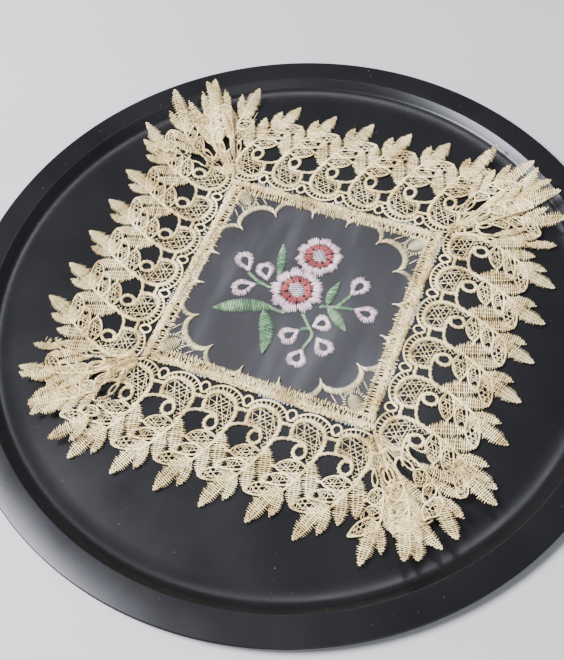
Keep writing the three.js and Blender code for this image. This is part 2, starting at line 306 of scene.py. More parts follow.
def tube_quads(rings, sides, closed=False):
    """Faces of a tube, with flat ends unless it is closed."""
    body = band_quads(rings, sides, closed)
    if closed:
        return body
    end = (rings - 1) * sides
    pairs = range(1, sides - 1, 2)
    first = [[0, (side + 2) % sides, side + 1, side] for side in pairs]
    last = [[end, end + side, end + side + 1, end + (side + 2) % sides] for side in pairs]
    return np.concatenate([body, first, last])


def oval(x, y, half_x, half_y, angles):
    """Points round an oval at the given angles."""
    return np.stack([x + half_x * np.cos(angles), y + half_y * np.sin(angles)], 1)


def smooth_path(points, step, closed=False):
    """Evenly spaced points along a smooth curve through the given ones."""
    points = np.asarray(points, float)
    if closed:
        padded = np.vstack([points[-1], points, points[0], points[1]])
    else:
        padded = np.vstack([2 * points[0] - points[1], points, 2 * points[-1] - points[-2]])
    fine = []
    t = np.linspace(0, 1, 12, endpoint=False)[:, None]
    for a, b, c, d in zip(padded, padded[1:], padded[2:], padded[3:]):
        fine.append(0.5 * (2 * b + (c - a) * t + (2 * a - 5 * b + 4 * c - d) * t ** 2
                           + (3 * b - a - 3 * c + d) * t ** 3))
    fine = np.vstack(fine + ([padded[1]] if closed else [padded[-2]]))
    along = np.concatenate([[0], np.cumsum(np.linalg.norm(np.diff(fine, axis=0), axis=1))])
    count = max(3, int(round(along[-1] / step)) + 1)
    at = np.linspace(0, along[-1], count)
    even = np.stack([np.interp(at, along, column) for column in fine.T], 1)
    return even[:-1] if closed else even


def add_cord(soup, points, width, height, lift, closed=False, *, step, sides=6, serration=0.1):
    """A stitched cord lying in the plan: an oval tube whose edge is notched by its stitches."""
    path = smooth_path(points, step, closed)
    if closed:
        run = np.roll(path, -1, 0) - np.roll(path, 1, 0)
    else:
        run = np.gradient(path, axis=0)
    run /= np.linalg.norm(run[:, :2], axis=1)[:, None] + 1e-9
    across = left_of(run)
    rings = len(path)
    wave = 1 + serration * np.where(np.arange(rings) % 2 == 0, 1, -1)
    wave = wave + rng.uniform(-serration, serration, rings) * 0.6
    taper = np.ones(rings)
    if not closed:
        taper[0] = taper[-1] = 0.55
    angle = np.arange(sides) * 2 * math.pi / sides
    out = (width / 2 * wave * taper)[:, None] * np.cos(angle)[None]
    up = (height / 2 * taper)[:, None] * np.sin(angle)[None]
    placed = np.empty((rings, sides, 3))
    placed[..., :2] = path[:, None, :2] + across[:, None] * out[..., None]
    base = path[:, 2][:, None] if path.shape[1] > 2 else 0
    placed[..., 2] = lift + base + up
    soup.add(placed, tube_quads(rings, sides, closed))


def add_threads(soup, start, end, width, height, lift=0.0, arch=0.25, segments=3, sides=6):
    """Straight stitches from start to end, each a flattened thread that arches in its middle."""
    start = np.asarray(start, float)
    end = np.asarray(end, float)
    if start.shape[1] == 2:
        start = np.column_stack([start, np.zeros(len(start))])
        end = np.column_stack([end, np.zeros(len(end))])
    count = len(start)
    width = np.broadcast_to(np.asarray(width, float), (count,))
    along = np.linspace(0, 1, segments + 1)
    run = (end - start)[:, :2]
    run /= np.linalg.norm(run, axis=1)[:, None] + 1e-9
    across = left_of(run)
    middle = start[:, None] + (end - start)[:, None] * along[None, :, None]
    bulge = np.sqrt(np.clip(1 - (2 * along - 1) ** 2, 0, 1))
    angle = np.arange(sides) * 2 * math.pi / sides
    size = 0.45 + 0.55 * bulge
    out = width[:, None, None] / 2 * size[None, :, None] * np.cos(angle)
    up = height / 2 * size[None, :, None] * np.sin(angle) + arch * bulge[None, :, None] + lift
    points = np.empty((count, segments + 1, sides, 3))
    points[..., :2] = middle[:, :, None, :2] + across[:, None, None] * out[..., None]
    points[..., 2] = middle[:, :, None, 2] + up
    faces = tube_quads(segments + 1, sides)
    offsets = np.arange(count)[:, None, None] * (segments + 1) * sides
    soup.add(points, faces[None] + offsets)


def settle(made, body, slot, *cad_nodes):
    """Hangs a piece on the body it rides on and hides the CAD nodes it stands for; the slot is not used."""
    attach(made, body)
    if cad_nodes:
        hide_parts(*cad_nodes)


# ---- tray


def arc_points(centre, radius, start, end, count):
    """Points along an arc between two angles in degrees."""
    angles = np.radians(np.linspace(start, end, count))
    return [(centre[0] + radius * math.cos(a), centre[1] + radius * math.sin(a)) for a in angles]


def tray_profile():
    """Half section of the pan as (radius, height), from the top of the floor round to its underside."""
    wall_foot = RIM_TOP - WALL_DROP
    floor_edge = FLOOR_RADIUS - 2
    floor = [(r, FLOOR_TOP) for r in np.linspace(0, floor_edge, 12)]
    # the cove, from the floor to the foot of the wall
    cove = [((1 - t) ** 2 * floor_edge + 2 * t * (1 - t) * (WALL_FOOT_RADIUS - 2) + t * t * WALL_FOOT_RADIUS,
             (1 - t * t) * FLOOR_TOP + t * t * wall_foot)
            for t in np.linspace(0, 1, 14)[1:]]
    slope = math.degrees(math.atan2(WALL_DROP, WALL_RUN))
    edge_height = RIM_TOP - EDGE_RADIUS
    inner_edge = arc_points((WALL_TOP_RADIUS + 0.3, edge_height), EDGE_RADIUS, 90 + slope, 90, 7)
    outer_edge = arc_points((TRAY_RADIUS - EDGE_RADIUS, edge_height), EDGE_RADIUS, 90, 0, 7)
    half_sheet = SHEET / 2
    lip = arc_points((TRAY_RADIUS - half_sheet, RIM_TOP - LIP_DROP + half_sheet), half_sheet, 0, -180, 7)
    under = [(TRAY_RADIUS - SHEET, RIM_TOP - SHEET - 0.3), (TRAY_RADIUS - SHEET - 0.3, RIM_TOP - SHEET),
             (WALL_TOP_RADIUS + SHEET, RIM_TOP - SHEET), (WALL_FOOT_RADIUS + SHEET, wall_foot - SHEET * 0.4),
             (WALL_FOOT_RADIUS - COVE_RUN * 0.3, 0.25), (FLOOR_RADIUS, 0), (FLOOR_RADIUS * 0.5, 0), (0, 0)]
    return floor + cove + inner_edge + outer_edge + lip + under


def make_tray():
    """The pan: its half section turned once round the middle."""
    profile = np.array(tray_profile())
    segments = 288
    angle = np.arange(segments) * 2 * math.pi / segments
    rings = len(profile)
    points = np.empty((rings, segments, 3))
    points[..., 0] = profile[:, 0, None] * np.cos(angle)
    points[..., 1] = profile[:, 0, None] * np.sin(angle)
    points[..., 2] = profile[:, 1, None]
    quads = band_quads(rings, segments)[:, ::-1]
    tray = make_object("tray", points.reshape(-1, 3), quads, ENAMEL)
    shell = bmesh.new()
    shell.from_mesh(tray.data)
    bmesh.ops.remove_doubles(shell, verts=shell.verts, dist=1e-6)
    bmesh.ops.recalc_face_normals(shell, faces=shell.faces)
    shell.to_mesh(tray.data)
    shell.free()
    settle(tray, "tray", "black_enamel", "tray_pan")


make_tray()

# ---- the surface the mat lies on


def rest_height(x, y):
    """Height of the mat's underside at a place in its plan: the floor, the cove, then the rim."""
    radius = np.hypot(x + MAT_X, y + MAT_Y)
    share = np.clip((radius - RISE_FROM) / RISE_RUN, 0, 1)
    rise = share * share * (3 - 2 * share)
    return FLOOR_TOP + 0.1 + rise * (RIM_TOP - FLOOR_TOP + 0.3)


def turn(x, y, quarter):
    """Turns a place in the mat's plan by a number of quarter turns."""
    cos, sin = [(1, 0), (0, 1), (-1, 0), (0, -1)][quarter % 4]
    return x * cos - y * sin, x * sin + y * cos


def to_row(points):
    """From the mat's own plan frame to the part's frame, still in millimetres."""
    return points + np.array([MAT_X, MAT_Y, 0])


# ---- one repeat of the lace
# Its plan is (along, outward from the lace's inner edge); the scroll's middle is along = 0.

PITCH = 26.6
SCROLL = [(-8.9, 17.6), (-9.7, 14.0), (-9.6, 9.8), (-7.7, 6.8), (-4.4, 5.3), (0.2, 5.0), (4.8, 6.4),
          (8.0, 9.6), (9.6, 14.2), (9.7, 19.0), (8.8, 23.4), (7.4, 27.4), (5.8, 30.8)]
UNDER_SCROLL = [(-16.9, 22.4), (-14.8, 20.8), (-11.4, 19.5), (-7.2, 18.7), (-3.4, 18.8), (0.4, 19.7)]
EYE = (-1.2, 24.5)
NET_EDGE = [(-8.6, 17.4), (-9.2, 13.0), (-8.0, 8.2), (-3.6, 5.8), (2.8, 5.8), (7.2, 9.4), (9.0, 14.6),
            (9.2, 19.6), (8.2, 24.0), (6.6, 28.6), (3.6, 29.2), (4.0, 24.0), (2.4, 20.4), (-0.6, 18.8)]
STEM = [(7.6, 29.6), (4.6, 36.4), (1.6, 43.0), (-1.6, 49.0), (-5.0, 54.0)]
# leaves: foot, tip, width, and how far the middle bows to the left of the way the leaf grows
SOLID_LEAVES = [((7.2, 27.6), (13.4, 49.4), 9.6, -0.6), ((1.6, 36.0), (6.0, 56.0), 8.6, -0.4),
                ((-2.4, 47.4), (-2.2, 64.8), 6.6, -0.8), ((-4.8, 47.8), (-13.0, 71.8), 9.8, 0.4)]
OPEN_LEAVES = [((5.4, 32.6), (-10.4, 36.9), 8.2, 0.4), ((2.0, 41.6), (-14.4, 46.4), 6.8, 0.6),
               ((-2.4, 49.2), (-21.0, 55.2), 8.0, 0.8)]


def leaf_edges(foot, tip, width, bow, count):
    """Left and right edges of a pointed leaf, from its foot to its tip."""
    foot = np.array(foot, float)
    tip = np.array(tip, float)
    run = tip - foot
    length = np.linalg.norm(run)
    left = left_of(run) / length
    u = np.linspace(0.02, 0.985, count)[:, None]
    middle = foot + run * u + left * bow * np.sin(math.pi * u)
    half = width / 2 * np.sin(math.pi * u ** 0.9) ** 0.58
    return middle + left * half, middle - left * half


def inside(polygon, points):
    """Which points lie inside a polygon, by counting crossings."""
    hit = np.zeros(len(points), bool)
    for (ax, ay), (bx, by) in zip(polygon, np.roll(polygon, -1, 0)):
        crosses = (ay > points[:, 1]) != (by > points[:, 1])
        with np.errstate(divide="ignore", invalid="ignore"):
            x = ax + (points[:, 1] - ay) * (bx - ax) / (by - ay)
        hit ^= crosses & (points[:, 0] < x)
    return hit


def add_net(soup, polygon, angles, spacing, width, lift):
    """Fine straight threads in a few directions, kept inside an outline."""
    polygon = np.asarray(polygon, float)
    middle = polygon.mean(0)
    reach = np.abs(polygon - middle).max() * 1.5
    for degrees in angles:
        run = np.array([math.cos(math.radians(degrees)), math.sin(math.radians(degrees))])
        side = left_of(run)
        for offset in np.arange(-reach, reach, spacing):
            at = middle + side * (offset + rng.uniform(-0.4, 0.4) * spacing)
            tilt = rng.uniform(-0.2, 0.2)
            way = run + side * tilt
            steps = np.linspace(-reach, reach, 160)
            line = at + steps[:, None] * way
            keep = inside(polygon, line)
            edges = np.flatnonzero(np.diff(np.concatenate([[0], keep.astype(int), [0]])))
            for first, last in zip(edges[::2], edges[1::2] - 1):
                if last - first < 6:
                    continue
                add_threads(soup, [line[first]], [line[last]], width, width * 0.9, lift,
                            arch=0, segments=max(2, int((steps[last] - steps[first]) / 2.2)), sides=4)


def add_satin(soup, points, width, pitch=0.98, lift=0.35, arch=0.6, closed=False, ragged=0.28):
    """A cord covered with satin stitches, each lying a little askew across it."""
    add_cord(soup, points, width * 0.62, 0.8, lift + 0.15, closed, step=0.9)
    path = smooth_path(points, pitch, closed)
    run = np.roll(path, -1, 0) - np.roll(path, 1, 0) if closed else np.gradient(path, axis=0)
    run /= np.linalg.norm(run, axis=1)[:, None]
    across = left_of(run)
    near = width / 2 * (1 + rng.uniform(-ragged, ragged, (len(path), 1)))
    far = width / 2 * (1 + rng.uniform(-ragged, ragged, (len(path), 1)))
    skew = 0.22 * pitch + rng.uniform(-0.2, 0.2, (len(path), 1))
    add_threads(soup, path - across * near - run * skew, path + across * far + run * skew,
                pitch * 0.8, 0.62, lift, arch, segments=4)


def add_filled_leaf(soup, foot, tip, width, bow):
    """A leaf worked solid: a row of crosswise stitches, then loose ones over it."""
    left, right = leaf_edges(foot, tip, width, bow, int(math.dist(foot, tip) / 1.2))
    count = len(left)
    middle = (left + right) / 2
    grow = (np.array(tip) - foot) / math.dist(foot, tip)
    skew = grow * rng.uniform(-0.1, 0.5, (count, 1))
    near = rng.uniform(0.88, 1.16, (count, 1))
    far = rng.uniform(0.88, 1.16, (count, 1))
    add_threads(soup, middle + (left - middle) * near - skew, middle + (right - middle) * far + skew,
                rng.uniform(0.55, 0.85, count), 0.7, 0.35, arch=0.35, segments=4)
    for share in (-0.55, 0.0, 0.55):
        rib = middle + (left - middle) * share
        add_cord(soup, rib[::2], 0.55, 0.45, 0.4, step=1.2, sides=4)
    at = rng.integers(1, count - 1, count)
    place = rng.uniform(-0.75, 0.75, (count, 1))
    half = rng.uniform(0.25, 0.55, (count, 1))
    slant = grow * rng.uniform(-0.9, 0.9, (count, 1))
    side = left[at] - middle[at]
    add_threads(soup, middle[at] + side * np.clip(place - half, -1, 1) - slant,
                middle[at] + side * np.clip(place + half, -1, 1) + slant,
                0.45, 0.5, 0.75, arch=0.15, segments=2)


def add_open_leaf(soup, foot, tip, width, bow):
    """A leaf worked open: a stitched outline round a loose net."""
    left, right = leaf_edges(foot, tip, width, bow, 9)
    edge = np.vstack([[foot], left, [tip], right[::-1]])
    add_cord(soup, edge, 1.1, 0.9, 0.5, closed=True, step=0.5, serration=0.2)
    add_net(soup, edge, (25, 100, 160), 2.5, 0.45, 0.4)


def make_repeat():
    soup = Soup()
    add_satin(soup, SCROLL, 2.8)
    add_satin(soup, UNDER_SCROLL, 2.2)
    turn_round = np.radians(np.arange(0, 360, 30))
    add_satin(soup, oval(*EYE, 3.5, 4.2, turn_round), 2.5, closed=True)
    add_net(soup, NET_EDGE, (12, 72, 132), 2.9, 0.4, 0.45)
    # the thin outer arc and its bars, then the loop and the bar between two scrolls
    bend = np.radians(np.arange(-66, 67, 12))
    add_cord(soup, np.stack([14 * np.sin(bend), 14.8 - 14 * np.cos(bend)], 1), 1.3, 0.9, 0.6,
             step=0.5, serration=0.22)
    ways = np.radians(np.arange(-60, 63, 11.5) + rng.uniform(-2, 2, 11))
    add_threads(soup, np.stack([10.6 * np.sin(ways), 14.8 - 10.0 * np.cos(ways)], 1),
                np.stack([14 * np.sin(ways), 14.8 - 14 * np.cos(ways)], 1),
                rng.uniform(0.5, 1.0, 11), 0.6, 0.5)
    loop = oval(-13.3, 5.4, 2.7, 3.3, turn_round)
    add_cord(soup, loop, 1.3, 1.0, 0.6, closed=True, step=0.5, serration=0.2)
    add_satin(soup, [(-17.0, 11.4), (-13.4, 11.1), (-9.6, 11.3)], 2.4, arch=0.3)
    add_cord(soup, [(-13.9, 36.9), (-12.0, 37.0), (-9.6, 36.9)], 1.5, 0.9, 0.55, step=0.5, serration=0.15)
    add_cord(soup, STEM, 1.6, 0.7, 0.4, step=0.8)
    for leaf in SOLID_LEAVES:
        add_filled_leaf(soup, *leaf)
    for leaf in OPEN_LEAVES:
        add_open_leaf(soup, *leaf)
    return soup.arrays()


repeat_points, repeat_quads = make_repeat()


# ---- how the lace lies

SIDES = ["right", "back", "left", "front"]
SIDE_REPEATS = 6
SEAM_CORNER = LACE_IN - 0.6
# Each corner gathers the trim in a pleat. It fans out to one angle, folds back to another and fans
# on to the next side. "rise" is how high the fan's edge stands (mm), "start" where its repeats start
# (repeats), "reach" how far it is pulled out, and "tuck" where its tips turn under (mm).
CORNERS = {
    "right_back": {"out": 60, "back": 34, "rise": 6.0, "start": 0.2, "reach": 1.02, "tuck": None},
    "left_back": {"out": 56, "back": 24, "rise": 10.0, "start": 0.6, "reach": 1.06, "tuck": None},
    "left_front": {"out": 62, "back": 30, "rise": 3.0, "start": 0.35, "reach": 1.0, "tuck": 66},
    "right_front": {"out": 52, "back": 28, "rise": 3.5, "start": 0.8, "reach": 1.06, "tuck": None},
}
FAN_FROM = 8  # degrees
FAN_TO = 84  # degrees
REPEAT_DEGREES = 21.5  # of a fan for each repeat
LAYER = 1.5  # mm from one layer of a pleat to the next


def waves(a, b, seed):
    """Smooth unevenness between about -1 and 1."""
    return (0.45 * np.sin(a / 23 + 1.9 * seed) * np.cos(b / 29 + seed)
            + 0.35 * np.sin(a / 9.5 + b / 14 + 2.7 * seed) + 0.2 * np.sin(a / 5.1 - b / 6.3 + seed))


def lay_side(along, outward, up, quarter):
    """Places a straight run of lace on the tray; its edge sways and lifts a little."""
    share = np.clip(outward / LACE_WIDTH, 0, 1.1)
    sway = waves(along * 0.7, 0 * along, quarter + 0.3)
    x, y = turn(LACE_IN + outward + 1.0 * sway * share, along - 1.0 * share ** 2, quarter)
    lift = share ** 1.4 * (1.5 + 1.5 * waves(along, outward + LACE_IN, quarter))
    return np.stack([x, y, rest_height(x, y) + np.maximum(lift, 0) + up], 1)


def pleat(shape):
    """Fan angle and layer for each place along the trim of a corner, as a lookup table."""
    turns = [FAN_FROM, shape["out"], shape["back"], FAN_TO]
    runs = np.abs(np.diff(turns)) / REPEAT_DEGREES * PITCH
    stops = np.concatenate([[0], np.cumsum(runs)])
    along = np.arange(-PITCH, stops[-1] + PITCH, 0.5)
    angle = np.interp(along, stops, turns)
    rate = REPEAT_DEGREES / PITCH
    angle = np.where(along < 0, FAN_FROM + along * rate, angle)
    angle = np.where(along > stops[-1], FAN_TO + (along - stops[-1]) * rate, angle)
    layer = np.interp(along, stops[1:3] + [-4, 4], [0, 0.1])
    for stop in stops[1:3]:
        layer = layer + np.clip((along - stop) / 10 + 0.5, 0, 1)
    kernel = np.ones(13) / 13
    angle = np.convolve(np.pad(angle, 6, mode="edge"), kernel, "valid")
    return along, angle, layer, stops[-1]


def lay_corner(along, outward, up, quarter, shape, table):
    """Places gathered lace round the seam's corner, one layer of the pleat over another."""
    places, angles, layers, _ = table
    angle = np.radians(np.interp(along, places, angles))
    layer = np.interp(along, places, layers)
    share = np.clip(outward / LACE_WIDTH, 0, 1.1)
    reach = (4 + 0.96 * outward) * shape["reach"] * (1 + 0.03 * waves(3 * along, 0 * along, quarter))
    under = 0
    if shape["tuck"]:
        past = reach - shape["tuck"] * (1 + 0.5 * np.abs(angle - math.radians(42)))
        turned = past > 0
        reach = reach - 2 * np.where(turned, past, 0)
        under = np.where(turned, -0.8, 0)
    centre = SEAM_CORNER - 1
    x, y = turn(centre + reach * np.cos(angle), centre + reach * np.sin(angle), quarter)
    middle = np.sin(np.clip((angle - 0.14) / 1.3, 0, 1) * math.pi)
    rise = middle * (shape["rise"] * share ** 2.4 + 1.3 * waves(2.4 * along, 1.5 * outward, quarter + 4))
    crease = 1.2 * middle * (1 - share) * np.sin(along / 4.2)
    height = LAYER * (layer + under) * np.clip(share * 3, 0.5, 1)
    lift = share ** 1.4 * 1.5 + height + np.maximum(rise + crease, -0.4 * height)
    return np.stack([x, y, rest_height(x, y) + np.maximum(lift, 0) + up], 1)


def piece_names(quads, count):
    """For each point, the number of the separate piece it belongs to."""
    names = np.arange(count)
    while True:
        lowest = names[quads].min(1)
        before = names.copy()
        np.minimum.at(names, quads.ravel(), np.repeat(lowest, 4))
        names = names[names]
        if (names == before).all():
            return names


repeat_names = piece_names(repeat_quads, len(repeat_points))


def string_repeats(offsets):
    """Copies of the repeat side by side, as (along, outward, up), with faces and piece numbers."""
    count = len(repeat_points)
    points = np.concatenate([repeat_points + [offset, 0, 0] for offset in offsets])
    quads = np.concatenate([repeat_quads + i * count for i in range(len(offsets))])
    names = np.concatenate([repeat_names + i * count for i in range(len(offsets))])
    return points, quads, names


def finish_lace(name, points, quads, cad_node):
    lace = make_object(name, to_row(points), quads, LACE)
    settle(lace, "mat", "lace_thread", cad_node)


def keep_pieces(points, quads, names, first, last, wanted):
    """Only the pieces whose middle is wanted; a long one must also lie between first and last."""
    _, group = np.unique(names, return_inverse=True)
    size = np.bincount(group)
    along = np.bincount(group, points[:, 0]) / size
    outward = np.bincount(group, points[:, 1]) / size
    least = np.full(len(size), np.inf)
    most = np.full(len(size), -np.inf)
    np.minimum.at(least, group, points[:, 0])
    np.maximum.at(most, group, points[:, 0])
    whole = (most - least < 3) | ((least > first) & (most < last))
    kept = (wanted(along, outward) & whole)[group]
    fresh = np.cumsum(kept) - 1
    return points[kept], fresh[quads[kept[quads].all(1)]]


def make_lace_side(name, quarter):
    """Six whole repeats along one side of the square."""
    points, quads, _ = string_repeats((np.arange(SIDE_REPEATS) - (SIDE_REPEATS - 1) / 2) * PITCH)
    placed = lay_side(*points.T, quarter)
    finish_lace(f"lace_{name}", placed, quads, f"lace_side_{name}")


def make_lace_corner(name, quarter, shape):
    """The trim between two sides: whole repeats, gathered at the seam and pleated on the diagonal."""
    table = pleat(shape)
    run = table[-1]
    offsets = np.arange(shape["start"], run / PITCH + 0.6) * PITCH
    strung = string_repeats(offsets)
    # close to the seam the gathers hide all but one scroll in two
    points, quads = keep_pieces(*strung, -1, run + 1,
                                lambda along, outward: (along > 0) & (along < run)
                                & ((outward > 16) | (np.floor(along / PITCH) % 2 < 1)))
    placed = lay_corner(*points.T, quarter, shape, table)
    finish_lace(f"lace_corner_{name}_trim", placed, quads, f"lace_corner_{name}")


for turn_number, side_name in enumerate(SIDES):
    make_lace_side(side_name, turn_number)
for turn_number, corner_name in enumerate(CORNERS):
    make_lace_corner(corner_name, turn_number, CORNERS[corner_name])

# ---- corded seam


def finish_stitching(name, soup, material, slot, *cad_nodes):
    """Makes one piece of the mat from the gathered threads."""
    points, quads = soup.arrays()
    settle(make_object(name, to_row(points), quads, material), "mat", slot, *cad_nodes)


def across_side(soup, along, near, shift, far, quarter, **look):
    """Stitches on one side of the square, from near to far outward of the mat's middle."""
    start = np.stack(turn(near, along, quarter), 1)
    end = np.stack(turn(far, along + shift, quarter), 1)
    add_threads(soup, start, end, **look)


def make_seam(name, quarter):
    """Ladder of bars, a dense corded band, and glints of the panel's cut edge beside the lace."""
    soup = Soup()
    low_z = FLOOR_TOP + GAP + 0.5

    def spaced(pitch, jitter=0.25):
        at = np.arange(-SEAM_IN, SEAM_OUT, pitch)
        return at + rng.uniform(-jitter, jitter, len(at)) * pitch

    # the row along the panel, with some longer stitches
    at = spaced(0.95, 0.4)
    spike = np.where(rng.random(len(at)) < 0.12, rng.uniform(0.8, 2.0, len(at)), 0)
    ragged = rng.uniform(-0.3, 0.3, len(at))
    across_side(soup, at, SEAM_IN - 1.3 + ragged - spike, 0.2, SEAM_IN + 1.4 + ragged, quarter,
                width=0.6, height=0.7, lift=low_z, arch=0.5)
    # the ladder's bars
    at = spaced(1.6, 0.5)
    across_side(soup, at, SEAM_IN + 1.0, rng.uniform(-0.8, 0.8, len(at)), SEAM_IN + 3.8, quarter,
                width=0.8, height=0.7, lift=low_z, arch=0.2)
    # two cords, then loose threads worked over both
    for offset, size in ((4.5, 1.7), (7.0, 2.0)):
        line = np.linspace(-SEAM_IN - 2, SEAM_OUT - 1, 60)
        wander = 0.4 * np.sin(line / 7.3 + offset + quarter) + 0.35 * np.sin(line / 2.9 + quarter)
        x, y = turn(SEAM_IN + offset + wander, line, quarter)
        add_satin(soup, np.stack([x, y], 1), size, 1.0, low_z - 0.1, 0.4, ragged=0.5)
    for _ in range(6):
        at = spaced(1.3, 0.7)
        slant = rng.uniform(-3.4, 3.4, len(at))
        across_side(soup, at, SEAM_IN + rng.uniform(2.2, 5.5, len(at)), slant,
                    SEAM_IN + rng.uniform(5.5, 8.6, len(at)), quarter,
                    width=0.5, height=0.5, lift=low_z + 0.3 + rng.uniform(0, 0.8), arch=0.4)
    finish_stitching(f"seam_{name}", soup, LACE, "lace_thread", f"seam_band_{name}")
    # threads in a pale colour that paints the glints of the panel's cut edge
    glints = Soup()
    at = spaced(1.1)
    at = at[(np.sin(at / 7.3 + 2 * quarter) + rng.uniform(-0.6, 0.6, len(at))) > 0.35]
    across_side(glints, at, SEAM_OUT - 0.4, rng.uniform(-0.9, 0.9, len(at)), SEAM_OUT + 1.3, quarter,
                width=0.5, height=0.45, lift=low_z + 0.9, arch=0.5)
    finish_stitching(f"seam_glints_{name}", glints, PAINTED_GLINT_THREAD, "organza")


for turn_number, side_name in enumerate(SIDES):
    make_seam(side_name, turn_number)

# ---- sheer panel


def panel_height(x, y):
    """The sheer cloth isn't quite flat: a few low folds run across it."""
    return FLOOR_TOP + GAP + 0.25 + 0.22 * waves(1.7 * x, 1.7 * y, 3.1)


PANEL_TURN_IN = 1.5


def make_panel():
    """The sheer square, which runs on a little under the seam."""
    steps = 90
    half = PANEL_HALF + PANEL_TURN_IN
    line = np.linspace(-half, half, steps)
    x, y = (grid.ravel() for grid in np.meshgrid(line, line, indexing="ij"))
    points = np.stack([x, y, panel_height(x, y)], 1)
    i = np.arange(steps - 1)[:, None] * steps + np.arange(steps - 1)[None]
    quads = np.stack([i, i + steps, i + steps + 1, i + 1], -1).reshape(-1, 4)
    panel = make_object("sheer_panel", to_row(points), quads, ORGANZA)
    settle(panel, "mat", "organza", "centre_panel")


make_panel()

# ---- stitched edging of the panel

# cusps of one side, as (along, outward from the mat's middle); a scallop also spans each corner
SCALLOP_CUSPS = [(-34, 50.5), (-11.5, 57.5), (11.5, 57.5), (34, 50.5)]
SCALLOP_BULGE = 0.43
SIDE_SCALLOP = (32, 3.4)  # stitches, and how deep they are
CORNER_SCALLOP = (46, 3.9)
# a corner's bars start evenly between two places and end between two others
BAR_STARTS = np.array([(40.5, 59.5), (59.5, 40.5)])
BAR_ENDS = np.array([(45.5, 63.5), (63.5, 45.5)])
# the petal in each corner, and the ring of stitches round it, as half lengths and half widths
PETAL_AT = 58.0
PETAL_LONG = 6.4
PETAL_WIDE = 4.4
PETAL_RING_INSIDE = (7.2, 5.0)
PETAL_RING_OUTSIDE = (9.4, 7.4)


def on_panel(points):
    """Adds the panel's height to points of its plan."""
    points = np.asarray(points, float)
    return np.column_stack([points, panel_height(*points.T)])


def stitches(soup, start, end, width, height=0.5, lift=0.15, arch=0.35, segments=3):
    """Stitches on the sheer panel, given in its plan."""
    add_threads(soup, on_panel(start), on_panel(end), width, height, lift, arch, segments)


def scallop_arc(start, end, count):
    """Points of one scallop between two cusps, and the way out of it at each."""
    start = np.array(start, float)
    end = np.array(end, float)
    run = end - start
    span = np.linalg.norm(run)
    out = np.array([run[1], -run[0]]) / span
    bend = np.linspace(math.radians(4), math.radians(176), count)
    across = 0.5 - 0.5 * np.cos(bend)
    rise = SCALLOP_BULGE * span * np.sin(bend)
    points = start + across[:, None] * run + rise[:, None] * out
    sideways = -0.8 * np.cos(bend) * np.sin(bend)
    outward = 0.3 + np.sin(bend)
    ways = sideways[:, None] * run / span + outward[:, None] * out
    return points, ways / np.linalg.norm(ways, axis=1)[:, None]


def diagonal_ways(quarter):
    """Unit ways along and across the diagonal of one corner."""
    long_way = np.array(turn(1, 1, quarter)) / math.sqrt(2)
    return long_way, left_of(long_way)


def add_scallop(soup, start, end, count, depth):
    """Satin stitches fanned outward from one scallop's arc, longer where it meets its neighbours."""
    points, ways = scallop_arc(start, end, count)
    limit = PANEL_HALF + 1.2
    points = np.clip(points, -limit, limit)
    outward = depth + rng.uniform(-0.45, 0.45, count)
    inward = rng.uniform(0, 0.4, count)
    inward[[0, -1]] = 1.8
    stitches(soup, points - ways * inward[:, None], points + ways * outward[:, None],
             0.64, height=0.7, lift=0.3, arch=0.5)


def add_corner_bars(soup, quarter):
    """Bars from a corner's scallop to the seam, and the stitches round its petal."""
    for share in (0.12, 0.3, 0.5, 0.7, 0.88):
        inner = (1 - share) * BAR_STARTS[0] + share * BAR_STARTS[1]
        outer = (1 - share) * BAR_ENDS[0] + share * BAR_ENDS[1]
        stitches(soup, [turn(*inner, quarter)], [turn(*outer, quarter)], 0.7, arch=0.1)
    around = np.radians(np.linspace(0, 360, 30, endpoint=False))
    centre = np.array(turn(PETAL_AT, PETAL_AT, quarter))
    long_way, side_way = diagonal_ways(quarter)
    limit = PANEL_HALF + 0.6

    def petal_ring(long_half, side_half):
        points = (centre + np.cos(around)[:, None] * long_half * long_way
                  + np.sin(around)[:, None] * side_half * side_way)
        return np.clip(points, -limit, limit)

    stitches(soup, petal_ring(*PETAL_RING_INSIDE), petal_ring(*PETAL_RING_OUTSIDE), 0.7)


def make_edging():
    """Three scallops along each side, and one with closer and longer stitches across each corner."""
    soup = Soup()
    cusps = [turn(outward, along, quarter) for quarter in range(4) for along, outward in SCALLOP_CUSPS]
    for number, cusp in enumerate(cusps):
        following = cusps[(number + 1) % len(cusps)]
        corner = number % len(SCALLOP_CUSPS) == len(SCALLOP_CUSPS) - 1
        add_scallop(soup, cusp, following, *(CORNER_SCALLOP if corner else SIDE_SCALLOP))
    for quarter in range(4):
        add_corner_bars(soup, quarter)
    finish_stitching("scallop_stitching", soup, EDGING, "lace_thread", "scallop_edging")


make_edging()


def make_petal(name, quarter):
    """The oval filled with cross stitches on the diagonal of one corner."""
    soup = Soup()
    u = np.linspace(-0.96, 0.96, 13)
    half = PETAL_WIDE * np.sqrt(1 - u ** 2)
    long_way, side_way = diagonal_ways(quarter)
    middle = np.array(turn(PETAL_AT, PETAL_AT, quarter)) + u[:, None] * PETAL_LONG * long_way
    stitches(soup, middle - half[:, None] * side_way, middle + half[:, None] * side_way, 0.62, arch=0.6)
    finish_stitching(f"petal_{name}", soup, EDGING, "lace_thread", f"corner_petal_{name}")


for turn_number, corner_name in enumerate(CORNERS):
    make_petal(corner_name, turn_number)

# ---- flowers

# as in the CAD to within 0.3 mm: the middle, and the outer radii of petals, ring and eye; then the
# number of petals and where they start
LARGE = {"at": (-0.8, 2.2), "radius": 16.6, "ring": 10.8, "eye": 5.0, "lobes": 9, "start": 0.2}
SMALL = {"at": (3.5, 30.0), "radius": 14.6, "ring": 9.9, "eye": 4.4, "lobes": 9, "start": 0.5}


